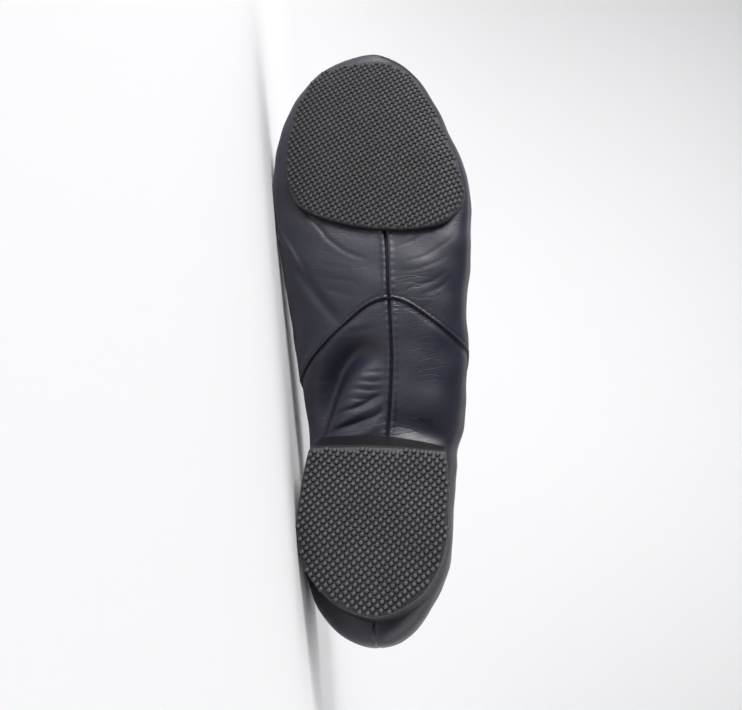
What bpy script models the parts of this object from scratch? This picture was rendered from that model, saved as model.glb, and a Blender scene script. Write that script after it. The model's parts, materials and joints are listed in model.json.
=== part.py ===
"""A left jazz shoe: one soft leather upper, a rubber forefoot patch, a low heel and an insole.

The shoe is modelled standing, with X from the heel to the toe, Y towards its outer side and Z up
from the ground under the sole. An empty then lays it on its inner side, sole facing -Y, toe at -X.
Tables hold shares of the named sizes, a row for each section or corner.
"""

import math

import bmesh
import bpy
import numpy as np
from mathutils import Matrix, Vector
from mathutils.bvhtree import BVHTree

# Driving sizes, in metres
LENGTH = 0.250
BALL_WIDTH = 0.0845
HEEL_WIDTH = 0.058
BACK_HEIGHT = 0.054
INSTEP_HEIGHT = 0.071
TOE_HEIGHT = 0.026
HEEL_HEIGHT = 0.019
TOE_SPRING = 0.003
OPENING_LENGTH = 0.105
OPENING_WIDTH = 0.046
WALL = 0.0014
FORE_SOLE = 0.0025
HEEL_TREAD = 0.003
INSOLE = 0.0012
LAP = 0.0007
GAP = 0.0003

# How far the upper's ends draw in, below and above its widest line
HEEL_TUCK = 0.008
TOE_TUCK = 0.003
COLLAR_LEAN = 0.004
TOE_SETBACK = 0.016
HEEL_ROUND = 0.14
TOE_ROUND = 0.20
END_SQUARE = 2.2
OPENING_SQUARE = 2.3

# The lap seam where the front piece lies over the rear one, in shares of the length: an arch under
# the waist, swept back up the sides
SEAM_APEX = 0.521
SEAM_DROP = {"medial": 0.106, "lateral": 0.074}
SEAM_TOP_DROP = 0.195
SEAM_BEND = 0.18
LAP_EDGE = 0.0007
LAP_FADE = 0.030

# The heel's breast slants forward as it rises, and its back leans out to meet the counter
BREAST_SLANT = 0.009
HEEL_FLARE = 0.0035
HEEL_EDGE = 0.0006

# Where the bottom of the upper is left open under the insole, as shares of its length
FORE_HOLE = (0.73, 0.91)
HEEL_HOLE = (0.06, 0.24)
HOLE_LEVEL = 2
INSOLE_LEVEL = 5

# The last. Widths are shares of the local width, middle and ridge of the ball width, seat of the
# heel's height, spring of the toe spring, top of the local height, and wide is the height of the
# widest point. Crown rounds the top of a section and square its bottom.
SECTION_COLUMNS = ("along", "medial", "lateral", "middle", "seat", "spring", "top", "ridge",
                   "crown", "wide_medial", "wide_lateral", "square")
SECTIONS = (
    (0.00, 0.440, 0.362, 0.018, 1.00, 0.00, 1.000, 0.004, 0.30, 0.38, 0.38, 4.0),
    (0.06, 0.466, 0.414, 0.018, 1.00, 0.00, 0.980, 0.004, 0.30, 0.38, 0.38, 4.0),
    (0.14, 0.491, 0.493, 0.024, 1.00, 0.00, 0.890, 0.018, 0.30, 0.40, 0.40, 4.0),
    (0.24, 0.494, 0.520, 0.047, 0.99, 0.00, 0.770, 0.018, 0.30, 0.42, 0.42, 3.6),
    (0.32, 0.471, 0.540, 0.073, 0.83, 0.00, 0.810, 0.018, 0.40, 0.38, 0.28, 2.5),
    (0.42, 0.430, 0.507, 0.091, 0.55, 0.00, 1.000, 0.010, 0.60, 0.27, 0.17, 2.1),
    (0.52, 0.428, 0.459, 0.084, 0.22, 0.00, 0.950, 0.000, 0.70, 0.25, 0.18, 2.3),
    (0.63, 0.4615, 0.483, 0.073, 0.01, 0.00, 0.850, -0.010, 0.75, 0.24, 0.24, 3.6),
    (0.74, 0.505, 0.479, 0.024, 0.00, 0.00, 0.920, -0.020, 0.80, 0.28, 0.28, 4.5),
    (0.84, 0.488, 0.392, -0.024, 0.00, 0.08, 1.130, -0.030, 0.90, 0.34, 0.34, 4.5),
    (0.93, 0.462, 0.338, -0.036, 0.00, 0.42, 1.100, -0.036, 0.95, 0.38, 0.38, 5.0),
    (1.00, 0.480, 0.310, -0.036, 0.00, 1.00, 0.820, -0.036, 0.95, 0.42, 0.42, 4.0),
)

# Levels round a section: angles from the bottom middle to the widest line, then shares up to the top
LOWER_ANGLES = (0, 4, 14, 27, 41, 55, 68, 80, 90)
UPPER_SHARES = (0.18, 0.36, 0.53, 0.69, 0.85, 1.0)
REAR_STATIONS = 20
THROAT_STATIONS = 6
FRONT_STATIONS = 20
STATION_CROWDING = 1.6

# Corners of the forefoot patch, from the toe round the inner side: shares of length and ball width
PATCH_COLUMNS = ("along", "across")
PATCH_CORNERS = (
    (0.968, 0.009), (0.951, -0.250), (0.896, -0.354), (0.836, -0.402), (0.772, -0.419),
    (0.712, -0.391), (0.674, -0.312), (0.644, -0.101), (0.631, 0.142), (0.637, 0.318),
    (0.657, 0.405), (0.696, 0.460), (0.756, 0.424), (0.836, 0.350), (0.912, 0.246), (0.953, 0.142),
)

# Corners of the heel's tread, from its back round the inner side: shares of length and heel width
TREAD_COLUMNS = ("along", "across")
TREAD_CORNERS = (
    (0.037, 0.018), (0.050, -0.170), (0.070, -0.285), (0.098, -0.380), (0.130, -0.434),
    (0.165, -0.447), (0.221, -0.424), (0.262, -0.393), (0.274, -0.375), (0.2755, -0.330),
    (0.274, 0.046), (0.266, 0.430), (0.2635, 0.475), (0.252, 0.488), (0.221, 0.495),
    (0.154, 0.480), (0.111, 0.438), (0.070, 0.333), (0.046, 0.183),
)
PATCH_POINTS = 72
TREAD_POINTS = 60
PATCH_RINGS = (1.0, 0.96, 0.88, 0.76, 0.60, 0.40, 0.20)
HEEL_RINGS = (1.0, 0.94, 0.84, 0.68, 0.45, 0.20)
FLAT_SLACK = 0.0003
WELD = 0.0003
SEAT_GAP = 0.0004
STEEPEST = 0.35
INSOLE_GAP = 0.0004
INSOLE_ENDS = (3, 3)

SIDES = {"medial": -1, "lateral": 1}
COLOURS = {
    "leather": ((0.020, 0.020, 0.026, 1.0), 0.42),
    "rubber": ((0.018, 0.018, 0.020, 1.0), 0.62),
    "heel": ((0.014, 0.014, 0.016, 1.0), 0.55),
    "lining": ((0.050, 0.050, 0.055, 1.0), 0.80),
}


def smoothstep(value, low, high):
    share = min(max((value - low) / (high - low), 0.0), 1.0)
    return share * share * (3.0 - 2.0 * share)


def smooth_value(rows, columns, column, along):
    """The column's value at a place between rows, on one smooth curve through them."""
    place = [row[0] for row in rows]
    value = [row[columns.index(column)] for row in rows]
    last = len(rows) - 1
    index = min(max(int(np.searchsorted(place, along)) - 1, 0), last - 1)
    low, high = max(index - 1, 0), min(index + 2, last)
    span = place[index + 1] - place[index]
    start = (value[index + 1] - value[low]) / (place[index + 1] - place[low])
    end = (value[high] - value[index]) / (place[high] - place[index])
    t = min(max((along - place[index]) / span, 0.0), 1.0)
    return ((2 * t**3 - 3 * t**2 + 1) * value[index] + (t**3 - 2 * t**2 + t) * span * start
            + (3 * t**2 - 2 * t**3) * value[index + 1] + (t**3 - t**2) * span * end)


def section(column, along):
    return smooth_value(SECTIONS, SECTION_COLUMNS, column, along)


def rounded(share, square):
    """A half oval's width at a share of its length from its middle."""
    return max(1.0 - min(abs(share), 1.0) ** square, 0.0) ** (1.0 / square)


def end_closure(along):
    """How much of the width is left near the heel's back and the toe's tip."""
    if along < HEEL_ROUND:
        return rounded((HEEL_ROUND - along) / HEEL_ROUND, END_SQUARE)
    if along > 1.0 - TOE_ROUND:
        return rounded((along - 1.0 + TOE_ROUND) / TOE_ROUND, END_SQUARE)
    return 1.0


def local_width(along):
    return HEEL_WIDTH + (BALL_WIDTH - HEEL_WIDTH) * smoothstep(along, 0.20, 0.60)


def local_height(along):
    rear = BACK_HEIGHT + (INSTEP_HEIGHT - BACK_HEIGHT) * smoothstep(along, 0.15, 0.42)
    return rear + (TOE_HEIGHT - INSTEP_HEIGHT) * smoothstep(along, 0.55, 0.93)


def bottom_height(along):
    seat = HEEL_HEIGHT + GAP
    tread = FORE_SOLE + GAP
    return tread + (seat - tread) * section("seat", along) + TOE_SPRING * section("spring", along)


def level_count():
    return len(LOWER_ANGLES) + len(UPPER_SHARES)


def level_parts(level):
    """How far a level has gone round the lower arc, and then up the side, each from 0 to 1."""
    last = len(LOWER_ANGLES) - 1
    if level <= last:
        angle = np.interp(level, range(last + 1), LOWER_ANGLES)
        return math.sin(math.radians(angle)), 0.0
    return 1.0, float(np.interp(level - last, range(len(UPPER_SHARES) + 1), (0.0,) + UPPER_SHARES))


def throat_share(level):
    """The opening's front end, as a share of the length at this level."""
    back, front = level_ends(level)
    return (OPENING_LENGTH - back) / (front - back)


def level_ends(level):
    """Where the heel's back and the toe's tip lie at this level."""
    lower, upper = level_parts(level)
    below = 1.0 - lower ** (2.0 / END_SQUARE)
    back = HEEL_TUCK * below + COLLAR_LEAN * upper**1.6
    front = LENGTH - TOE_TUCK * below - TOE_SETBACK * upper**2
    return back, front


def outer_point(along, level, side):
    """A point of the upper's outer face, before the lap of the front piece."""
    lower, upper = level_parts(level)
    back, front = level_ends(level)
    closure = end_closure(along)
    floor = bottom_height(along)
    height = section("top", along) * local_height(along)
    middle = section("middle", along) * BALL_WIDTH * closure
    widest = SIDES[side] * section(side, along) * local_width(along) * closure
    rise = section("wide_" + side, along) * height
    x = back + along * (front - back)
    if upper == 0.0:
        square = section("square", along)
        across = lower ** (2.0 / square)
        raised = 1.0 - max(1.0 - lower**2, 0.0) ** (1.0 / square)
        return Vector((x, middle + (widest - middle) * across, floor + rise * raised))
    throat = throat_share(level_count() - 1)
    opening = OPENING_WIDTH / 2 * rounded(2.0 * along / throat - 1.0, OPENING_SQUARE)
    if along >= throat:
        opening = 0.0
    top_y = section("ridge", along) * BALL_WIDTH * closure + SIDES[side] * min(opening, abs(widest))
    crown = section("crown", along)
    closed = smoothstep(along, 0.24, throat)
    high = height - rise
    handle_low = (widest, rise + (0.30 + 0.25 * crown) * high)
    handle_top = (top_y + (0.20 + 0.45 * crown * closed) * (widest - top_y),
                  height - 0.40 * (1.0 - closed) * high)
    t = upper
    weights = ((1 - t) ** 3, 3 * t * (1 - t) ** 2, 3 * t**2 * (1 - t), t**3)
    corners = ((widest, rise), handle_low, handle_top, (top_y, height))
    y = sum(weight * corner[0] for weight, corner in zip(weights, corners))
    z = sum(weight * corner[1] for weight, corner in zip(weights, corners))
    return Vector((x, y, floor + z))


def seam_share(level, side):
    """Where the lap seam crosses this level, as a share of the length there; round at its apex."""
    lower, upper = level_parts(level)
    back, front = level_ends(level)
    swept = (math.hypot(lower, SEAM_BEND) - SEAM_BEND) / (math.hypot(1.0, SEAM_BEND) - SEAM_BEND)
    drop = SEAM_DROP[side] * swept * (1.0 - upper) + SEAM_TOP_DROP * upper
    return ((SEAM_APEX - drop) * LENGTH - back) / (front - back)


def base_stations():
    """Stations along the upper, and the throat's: crowded at both ends and just behind the throat."""
    top = level_count() - 1
    seam_end = SEAM_APEX + LAP_EDGE / LENGTH
    throat = unwarped(throat_share(top), top, "medial")
    rear = [SEAM_APEX * (i / REAR_STATIONS) ** STATION_CROWDING for i in range(REAR_STATIONS + 1)]
    sides = [throat - (throat - seam_end) * (1.0 - i / THROAT_STATIONS) ** STATION_CROWDING
             for i in range(THROAT_STATIONS)]
    front = [1.0 - (1.0 - throat) * (1.0 - i / FRONT_STATIONS) ** STATION_CROWDING
             for i in range(FRONT_STATIONS + 1)]
    return rear + sides + front, len(rear) + len(sides)


def warped(station, level, side):
    """Slides a station along a level, so that the seam's own station follows the seam."""
    seam = seam_share(level, side)
    if station <= SEAM_APEX:
        return station * seam / SEAM_APEX
    return 1.0 - (1.0 - station) * (1.0 - seam) / (1.0 - SEAM_APEX)


def unwarped(along, level, side):
    seam = seam_share(level, side)
    return 1.0 - (1.0 - along) * (1.0 - SEAM_APEX) / (1.0 - seam)


def lap_height(station):
    """How far the front piece stands proud, from its edge forward."""
    ahead = (station - SEAM_APEX) * LENGTH - LAP_EDGE
    if ahead < -LAP_EDGE / 2:
        return 0.0
    return LAP * (1.0 - smoothstep(ahead, 0.0, LAP_FADE))


def upper_grid(holes):
    """A surface with one skin: rows of levels from the inner side's top, under, to the outer side's.

    It comes with the lap's height at each vertex.
    """
    bm = bmesh.new()
    stations, throat = base_stations()
    levels = level_count()
    columns = [("medial", level) for level in range(levels - 1, 0, -1)]
    columns += [("lateral", level) for level in range(levels)]
    laps = {}
    grid = []
    for index, station in enumerate(stations):
        row = []
        for side, level in columns:
            along = warped(station, level, side)
            point = outer_point(along, level, side)
            if level == levels - 1 and index >= throat:
                point.y = section("ridge", along) * BALL_WIDTH * end_closure(along)
            vertex = bm.verts.new(point)
            laps[vertex] = lap_height(station)
            row.append(vertex)
        grid.append(row)
    left_out = hole_quads(stations, columns, holes)
    for i in range(len(stations) - 1):
        for j in range(len(columns) - 1):
            if (i, j) not in left_out:
                bm.faces.new((grid[i][j], grid[i][j + 1], grid[i + 1][j + 1], grid[i + 1][j]))
    doubles = bmesh.ops.find_doubles(bm, verts=bm.verts, dist=WELD)["targetmap"]
    bmesh.ops.weld_verts(bm, targetmap=doubles)
    bm.normal_update()
    return bm, {vertex: lap for vertex, lap in laps.items() if vertex.is_valid}


def hole_quads(stations, columns, holes):
    """The quads left out under the insole, inside the margins that the soles hold."""
    middle = columns.index(("lateral", 0))
    found = set()
    for low, high in holes:
        for i in range(len(stations) - 1):
            if low <= stations[i] and stations[i + 1] <= high:
                found |= {(i, j) for j in range(middle - HOLE_LEVEL, middle + HOLE_LEVEL)}
    return found


def new_object(name, bm, material, parent):
    mesh = bpy.data.meshes.new(name)
    bmesh.ops.recalc_face_normals(bm, faces=bm.faces)
    bm.to_mesh(mesh)
    bm.free()
    mesh.shade_smooth()
    mesh.set_sharp_from_angle(angle=math.radians(50))
    mesh.materials.append(material)
    piece = bpy.data.objects.new(name, mesh)
    parent.users_collection[0].objects.link(piece)
    piece.parent = parent
    return piece


def make_upper(material, parent):
    """Gives the skin its wall: the leather's thickness inside, and the lap of the front piece outside."""
    bm, laps = upper_grid((FORE_HOLE, HEEL_HOLE))
    normals = {vertex: vertex.normal.copy() for vertex in bm.verts}
    outside = list(bm.faces)
    rims = [edge for edge in bm.edges if edge.is_boundary]
    inner = {vertex: bm.verts.new(vertex.co - normals[vertex] * WALL) for vertex in normals}
    for face in outside:
        bm.faces.new([inner[vertex] for vertex in reversed(face.verts)])
    for edge in rims:
        start, end = edge.verts
        bm.faces.new((start, end, inner[end], inner[start]))
    raise_lap(normals, laps)
    return new_object("upper", bm, material, parent)


def raise_lap(normals, laps):
    for vertex, normal in normals.items():
        vertex.co += normal * laps[vertex]


def closed_curve(corners, columns, across_size, count):
    """Evenly spaced points on a smooth closed curve through a table's corners."""
    rows = [(row[columns.index("along")] * LENGTH, row[columns.index("across")] * across_size)
            for row in corners]
    dense = []
    for i, start in enumerate(rows):
        before, end, after = rows[i - 1], rows[(i + 1) % len(rows)], rows[(i + 2) % len(rows)]
        for step in range(12):
            t = step / 12
            dense.append([0.5 * (2 * start[k] + (end[k] - before[k]) * t
                                 + (2 * before[k] - 5 * start[k] + 4 * end[k] - after[k]) * t**2
                                 + (3 * start[k] - before[k] - 3 * end[k] + after[k]) * t**3)
                          for k in range(2)])
    dense = np.array(dense + dense[:1])
    length = np.concatenate([[0.0], np.cumsum(np.hypot(*np.diff(dense, axis=0).T))])
    even = np.linspace(0.0, length[-1], count + 1)[:-1]
    return np.column_stack([np.interp(even, length, dense[:, k]) for k in range(2)])


def under_upper(tree, x, y):
    """How high a piece may reach at a place on the ground and stay clear of the upper's underside."""
    hit, normal, _, _ = tree.ray_cast(Vector((x, y, -LENGTH)), Vector((0.0, 0.0, 1.0)))
    return hit.z - SEAT_GAP / max(abs(normal.z), STEEPEST)


def skin_tree():
    """The upper's outer face with no holes under it, for what lies against it."""
    bm, laps = upper_grid(())
    raise_lap({vertex: vertex.normal.copy() for vertex in bm.verts}, laps)
    tree = BVHTree.FromBMesh(bm)
    bm.free()
    return tree


def bridge(bm, low, high):
    """Joins two rings of as many vertices."""
    for i in range(len(low)):
        after = (i + 1) % len(low)
        bm.faces.new((low[i], low[after], high[after], high[i]))


def ring_of(bm, points):
    return [bm.verts.new(point) for point in points]


def capped(bm, rings, centre):
    """Joins rings from a rim inwards and closes them on one vertex."""
    for low, high in zip(rings, rings[1:]):
        bridge(bm, low, high)
    middle = bm.verts.new(centre)
    for i in range(len(rings[-1])):
        bm.faces.new((rings[-1][i], rings[-1][(i + 1) % len(rings[-1])], middle))


def make_forefoot_sole(material, parent, tree):
    """The rubber patch: its top lies against the upper and its underside is flat at the ball."""
    outline = closed_curve(PATCH_CORNERS, PATCH_COLUMNS, BALL_WIDTH, PATCH_POINTS)
    centre = outline.mean(axis=0)
    bm = bmesh.new()

    def top(x, y):
        return under_upper(tree, x, y)

    def under(x, y):
        height = top(x, y) - FORE_SOLE
        return 0.0 if height < FLAT_SLACK else height - FLAT_SLACK

    sheets = []
    for height in (top, under):
        rings = []
        for share in PATCH_RINGS:
            places = centre + (outline - centre) * share
            rings.append(ring_of(bm, [Vector((x, y, height(x, y))) for x, y in places]))
        capped(bm, rings, Vector((centre[0], centre[1], height(*centre))))
        sheets.append(rings)
    bridge(bm, sheets[0][0], sheets[1][0])
    return new_object("forefoot_sole", bm, material, parent)


def heel_outline(height):
    """The heel's outline at a height: its back flares out and its breast slants forward."""
    outline = closed_curve(TREAD_CORNERS, TREAD_COLUMNS, HEEL_WIDTH, TREAD_POINTS)
    front = outline[:, 0].max()
    middle = outline[:, 0].min() + HEEL_WIDTH / 2
    rise = height / HEEL_HEIGHT
    forward = np.clip((outline[:, 0] - middle) / (front - middle), 0.0, 1.0) ** 3
    back = np.clip((middle - outline[:, 0]) / (middle - outline[:, 0].min()), 0.0, 1.0)
    outline[:, 0] += BREAST_SLANT * rise * forward - HEEL_FLARE * rise * back
    return outline


def make_heel_block(material, parent, tree):
    bm = bmesh.new()
    low = HEEL_TREAD + GAP
    base = heel_outline(low)
    foot = ring_of(bm, [Vector((x, y, low)) for x, y in base])
    bm.faces.new(list(reversed(foot)))
    outline = heel_outline(HEEL_HEIGHT)
    centre = outline.mean(axis=0)
    rings = []
    for share in HEEL_RINGS:
        places = centre + (outline - centre) * share
        rings.append(ring_of(bm, [Vector((x, y, under_upper(tree, x, y))) for x, y in places]))
    bridge(bm, foot, rings[0])
    capped(bm, rings, Vector((centre[0], centre[1], under_upper(tree, *centre))))
    return new_object("heel_block", bm, material, parent)


def make_heel_tread(material, parent):
    """The flat rubber piece that the heel stands on, its lower edge a little rounded."""
    bm = bmesh.new()
    outline = heel_outline(0.0)
    centre = outline.mean(axis=0)
    inset = centre + (outline - centre) * (1.0 - 2.0 * HEEL_EDGE / HEEL_WIDTH)
    rings = [ring_of(bm, [Vector((x, y, z)) for x, y in places])
             for places, z in ((inset, 0.0), (outline, HEEL_EDGE), (heel_outline(HEEL_TREAD), HEEL_TREAD))]
    for low, high in zip(rings, rings[1:]):
        bridge(bm, low, high)
    bm.faces.new(list(reversed(rings[0])))
    bm.faces.new(rings[-1])
    return new_object("heel_tread", bm, material, parent)


def make_insole(material, parent):
    """A thin full-length sheet inside, following the upper's bottom."""
    stations, _ = base_stations()
    inner = stations[INSOLE_ENDS[0]:len(stations) - INSOLE_ENDS[1]]
    columns = [("medial", level) for level in range(INSOLE_LEVEL, 0, -1)]
    columns += [("lateral", level) for level in range(INSOLE_LEVEL + 1)]
    sheet = bmesh.new()
    grid = [[sheet.verts.new(outer_point(station, level, side)) for side, level in columns]
            for station in inner]
    for i in range(len(grid) - 1):
        for j in range(len(columns) - 1):
            sheet.faces.new((grid[i][j], grid[i + 1][j], grid[i + 1][j + 1], grid[i][j + 1]))
    sheet.normal_update()
    rims = [edge for edge in sheet.edges if edge.is_boundary]
    normals = {vertex: vertex.normal.copy() for vertex in sheet.verts}
    upward = 1.0 if sum(normal.z for normal in normals.values()) > 0 else -1.0
    lift = WALL + INSOLE_GAP
    faces = list(sheet.faces)
    top = {vertex: sheet.verts.new(vertex.co + normals[vertex] * upward * (lift + INSOLE))
           for vertex in normals}
    for face in faces:
        sheet.faces.new([top[vertex] for vertex in reversed(face.verts)])
    for edge in rims:
        start, end = edge.verts
        sheet.faces.new((start, end, top[end], top[start]))
    for vertex, normal in normals.items():
        vertex.co += normal * upward * lift
    return new_object("insole", sheet, material, parent)


def make_material(name):
    colour, roughness = COLOURS[name]
    material = bpy.data.materials.new(name)
    material.use_nodes = True
    shader = material.node_tree.nodes["Principled BSDF"]
    shader.inputs["Base Color"].default_value = colour
    shader.inputs["Roughness"].default_value = roughness
    shader.inputs["Metallic"].default_value = 0.0
    return material


def solid_centre(pieces):
    """The centre of the pieces' solid volume."""
    total, moment = 0.0, Vector((0.0, 0.0, 0.0))
    for piece in pieces:
        bm = bmesh.new()
        bm.from_mesh(piece.data)
        bmesh.ops.triangulate(bm, faces=bm.faces)
        for face in bm.faces:
            a, b, c = (vertex.co for vertex in face.verts)
            volume = a.dot(b.cross(c)) / 6.0
            total += volume
            moment += (a + b + c) * volume / 4.0
        bm.free()
    return moment / total


def resting_turn(pieces):
    """The turn that lays the shoe on the facet of its inner side that carries its centre."""
    laid = Matrix(((-1.0, 0.0, 0.0), (0.0, 0.0, 1.0), (0.0, 1.0, 0.0)))
    hull = bmesh.new()
    for piece in pieces:
        for vertex in piece.data.vertices:
            hull.verts.new(laid @ vertex.co)
    bmesh.ops.convex_hull(hull, input=hull.verts)
    hull.normal_update()
    centre = laid @ solid_centre(pieces)
    middle = sum((vertex.co for vertex in hull.verts), Vector()) / len(hull.verts)
    best, margin = None, -math.inf
    for face in hull.faces:
        normal = face.normal if face.normal.dot(face.calc_center_median() - middle) > 0 else -face.normal
        if normal.z > -0.9:
            continue
        foot = centre + normal * (face.calc_center_median() - centre).dot(normal)
        inside = edge_margin(face, foot, normal)
        if inside > margin:
            best, margin = normal.copy(), inside
    down = best.rotation_difference(Vector((0.0, 0.0, -1.0))).to_matrix()
    hull.free()
    return down @ laid


def edge_margin(face, foot, normal):
    """How far a point of the face's plane lies inside its nearest edge."""
    corners = [vertex.co for vertex in face.verts]
    middle = face.calc_center_median()
    distances = []
    for start, end in zip(corners, corners[1:] + corners[:1]):
        outward = (end - start).cross(normal).normalized()
        if outward.dot(start - middle) < 0:
            outward = -outward
        distances.append((start - foot).dot(outward))
    return min(distances)


def lay_down(pieces, parent):
    """Turns the parent empty so that the shoe lies at rest, centred over the origin."""
    turn = resting_turn(pieces)
    forward = turn @ Vector((1.0, 0.0, 0.0))
    turn = Matrix.Rotation(math.pi - math.atan2(forward.y, forward.x), 3, "Z") @ turn
    points = [turn @ vertex.co for piece in pieces for vertex in piece.data.vertices]
    low = Vector([min(point[k] for point in points) for k in range(3)])
    high = Vector([max(point[k] for point in points) for k in range(3)])
    shift = Vector((-(low.x + high.x) / 2, -(low.y + high.y) / 2, -low.z))
    parent.matrix_world = Matrix.Translation(shift) @ turn.to_4x4()


def main():
    for old in list(bpy.data.objects):
        bpy.data.objects.remove(old, do_unlink=True)
    collection = bpy.data.collections.new("jazz_shoe")
    bpy.context.scene.collection.children.link(collection)
    parent = bpy.data.objects.new("lying_shoe", None)
    collection.objects.link(parent)
    materials = {name: make_material(name) for name in COLOURS}
    tree = skin_tree()
    pieces = [
        make_upper(materials["leather"], parent),
        make_forefoot_sole(materials["rubber"], parent, tree),
        make_heel_block(materials["heel"], parent, tree),
        make_heel_tread(materials["rubber"], parent),
        make_insole(materials["lining"], parent),
    ]
    lay_down(pieces, parent)


main()
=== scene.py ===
"""Looks of the left jazz shoe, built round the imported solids.

Shapes are worked out for the shoe standing, with X from the heel to the toe, Y towards its outer
side and Z up from the ground under the sole, and then moved to where the frame lies on its side.
The last's sizes and table are those of the solids, so that the finer leather keeps their form.
Tables hold shares of the named sizes, a row for each section, corner or crease.
"""

import json
import math

import bmesh
import bpy
import numpy as np
from mathutils import Matrix, Vector
from mathutils.bvhtree import BVHTree


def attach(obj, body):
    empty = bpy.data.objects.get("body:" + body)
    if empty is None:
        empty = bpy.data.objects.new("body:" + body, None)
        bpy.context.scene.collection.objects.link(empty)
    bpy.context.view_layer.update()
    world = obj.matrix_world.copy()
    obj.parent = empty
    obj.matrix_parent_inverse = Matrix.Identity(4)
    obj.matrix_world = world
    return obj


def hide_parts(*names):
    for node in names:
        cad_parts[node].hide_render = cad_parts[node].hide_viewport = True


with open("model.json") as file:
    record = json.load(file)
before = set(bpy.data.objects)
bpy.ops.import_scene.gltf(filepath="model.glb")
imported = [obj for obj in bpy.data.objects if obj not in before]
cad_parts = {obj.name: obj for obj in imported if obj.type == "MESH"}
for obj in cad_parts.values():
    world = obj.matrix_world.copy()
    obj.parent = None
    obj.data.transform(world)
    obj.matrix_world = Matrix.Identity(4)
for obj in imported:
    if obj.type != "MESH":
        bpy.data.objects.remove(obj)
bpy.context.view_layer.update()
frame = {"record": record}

# Driving sizes of the solids, in metres
LENGTH = 0.250
BALL_WIDTH = 0.0845
HEEL_WIDTH = 0.058
BACK_HEIGHT = 0.054
INSTEP_HEIGHT = 0.071
TOE_HEIGHT = 0.026
HEEL_HEIGHT = 0.019
TOE_SPRING = 0.003
OPENING_LENGTH = 0.105
OPENING_WIDTH = 0.046
WALL = 0.0014
FORE_SOLE = 0.0025
HEEL_TREAD = 0.003
LAP = 0.0007
GAP = 0.0003
INSOLE = 0.0012
INSOLE_GAP = 0.0004
HEEL_TUCK = 0.008
TOE_TUCK = 0.003
COLLAR_LEAN = 0.004
TOE_SETBACK = 0.016
HEEL_ROUND = 0.14
TOE_ROUND = 0.20
END_SQUARE = 2.2
OPENING_SQUARE = 2.3
SEAM_APEX = 0.521
SEAM_DROP = {"medial": 0.106, "lateral": 0.074}
SEAM_TOP_DROP = 0.195
SEAM_BEND = 0.18
LAP_FADE = 0.030
BREAST_SLANT = 0.009
HEEL_FLARE = 0.0012
FLAT_SLACK = 0.0003
SEAT_GAP = 0.0004
STEEPEST = 0.35
SIDES = {"medial": -1, "lateral": 1}

# Where the faces that the record mounts lie on the standing shoe
HEEL_FACE = Vector((0.0400, 0.0015, 0.0))
FOREFOOT_FACE = Vector((0.1850, 0.0, 0.0))

SECTION_COLUMNS = ("along", "medial", "lateral", "middle", "seat", "spring", "top", "ridge",
                   "crown", "wide_medial", "wide_lateral", "square")
SECTIONS = (
    (0.00, 0.440, 0.362, 0.018, 1.00, 0.00, 1.000, 0.004, 0.30, 0.38, 0.38, 4.0),
    (0.06, 0.466, 0.414, 0.018, 1.00, 0.00, 0.980, 0.004, 0.30, 0.38, 0.38, 4.0),
    (0.14, 0.491, 0.493, 0.024, 1.00, 0.00, 0.890, 0.018, 0.30, 0.40, 0.40, 4.0),
    (0.24, 0.494, 0.520, 0.047, 0.99, 0.00, 0.770, 0.018, 0.30, 0.42, 0.42, 3.6),
    (0.32, 0.471, 0.540, 0.073, 0.83, 0.00, 0.810, 0.018, 0.40, 0.38, 0.28, 2.5),
    (0.42, 0.430, 0.507, 0.091, 0.55, 0.00, 1.000, 0.010, 0.60, 0.27, 0.17, 2.1),
    (0.52, 0.428, 0.459, 0.084, 0.22, 0.00, 0.950, 0.000, 0.70, 0.25, 0.18, 2.3),
    (0.63, 0.4615, 0.483, 0.073, 0.01, 0.00, 0.850, -0.010, 0.75, 0.24, 0.24, 3.6),
    (0.74, 0.505, 0.479, 0.024, 0.00, 0.00, 0.920, -0.020, 0.80, 0.28, 0.28, 4.5),
    (0.84, 0.488, 0.392, -0.024, 0.00, 0.08, 1.130, -0.030, 0.90, 0.34, 0.34, 4.5),
    (0.93, 0.462, 0.338, -0.036, 0.00, 0.42, 1.100, -0.036, 0.95, 0.38, 0.38, 5.0),
    (1.00, 0.480, 0.310, -0.036, 0.00, 1.00, 0.820, -0.036, 0.95, 0.42, 0.42, 4.0),
)

# Outlines of the two treads: the corners' places along and across, as shares of the length and
# of the ball width or the heel width
PATCH_CORNERS = (
    (0.968, 0.009), (0.951, -0.250), (0.896, -0.354), (0.836, -0.402), (0.772, -0.419),
    (0.712, -0.391), (0.674, -0.312), (0.644, -0.101), (0.631, 0.142), (0.637, 0.318),
    (0.657, 0.405), (0.696, 0.460), (0.756, 0.424), (0.836, 0.350), (0.912, 0.246), (0.953, 0.142),
)
TREAD_CORNERS = (
    (0.037, 0.018), (0.050, -0.170), (0.070, -0.285), (0.098, -0.380), (0.130, -0.434),
    (0.165, -0.447), (0.221, -0.424), (0.262, -0.393), (0.274, -0.375), (0.2755, -0.330),
    (0.274, 0.046), (0.266, 0.430), (0.2635, 0.475), (0.252, 0.488), (0.221, 0.495),
    (0.154, 0.480), (0.111, 0.438), (0.070, 0.333), (0.046, 0.183),
)

# Where the insole ends: its stations, and how far it goes round the lower arc
INSOLE_ENDS = (0.025, 0.988)
INSOLE_REACH = math.sin(math.radians(55))

# Spacing of the leather's mesh: coarse, among the creases under the shoe and at the seams, where the
# creases are, and how fast the spacing grows away from them
COARSE = 0.0014
FINE = 0.00065
CREASED = (0.27, 0.71)
CREASED_REACH = 0.040
FINE_GROWTH = 0.06
SEAM_STEP = 0.00013
SEAM_GROWTH = 0.14
END_STEP = 0.00001
END_GROWTH = 0.5
LINING_STEP = 3
INSOLE_ROWS = 160
INSOLE_SIDE = 28
SECTION_SAMPLES = 240
WELD = 0.00002

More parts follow.
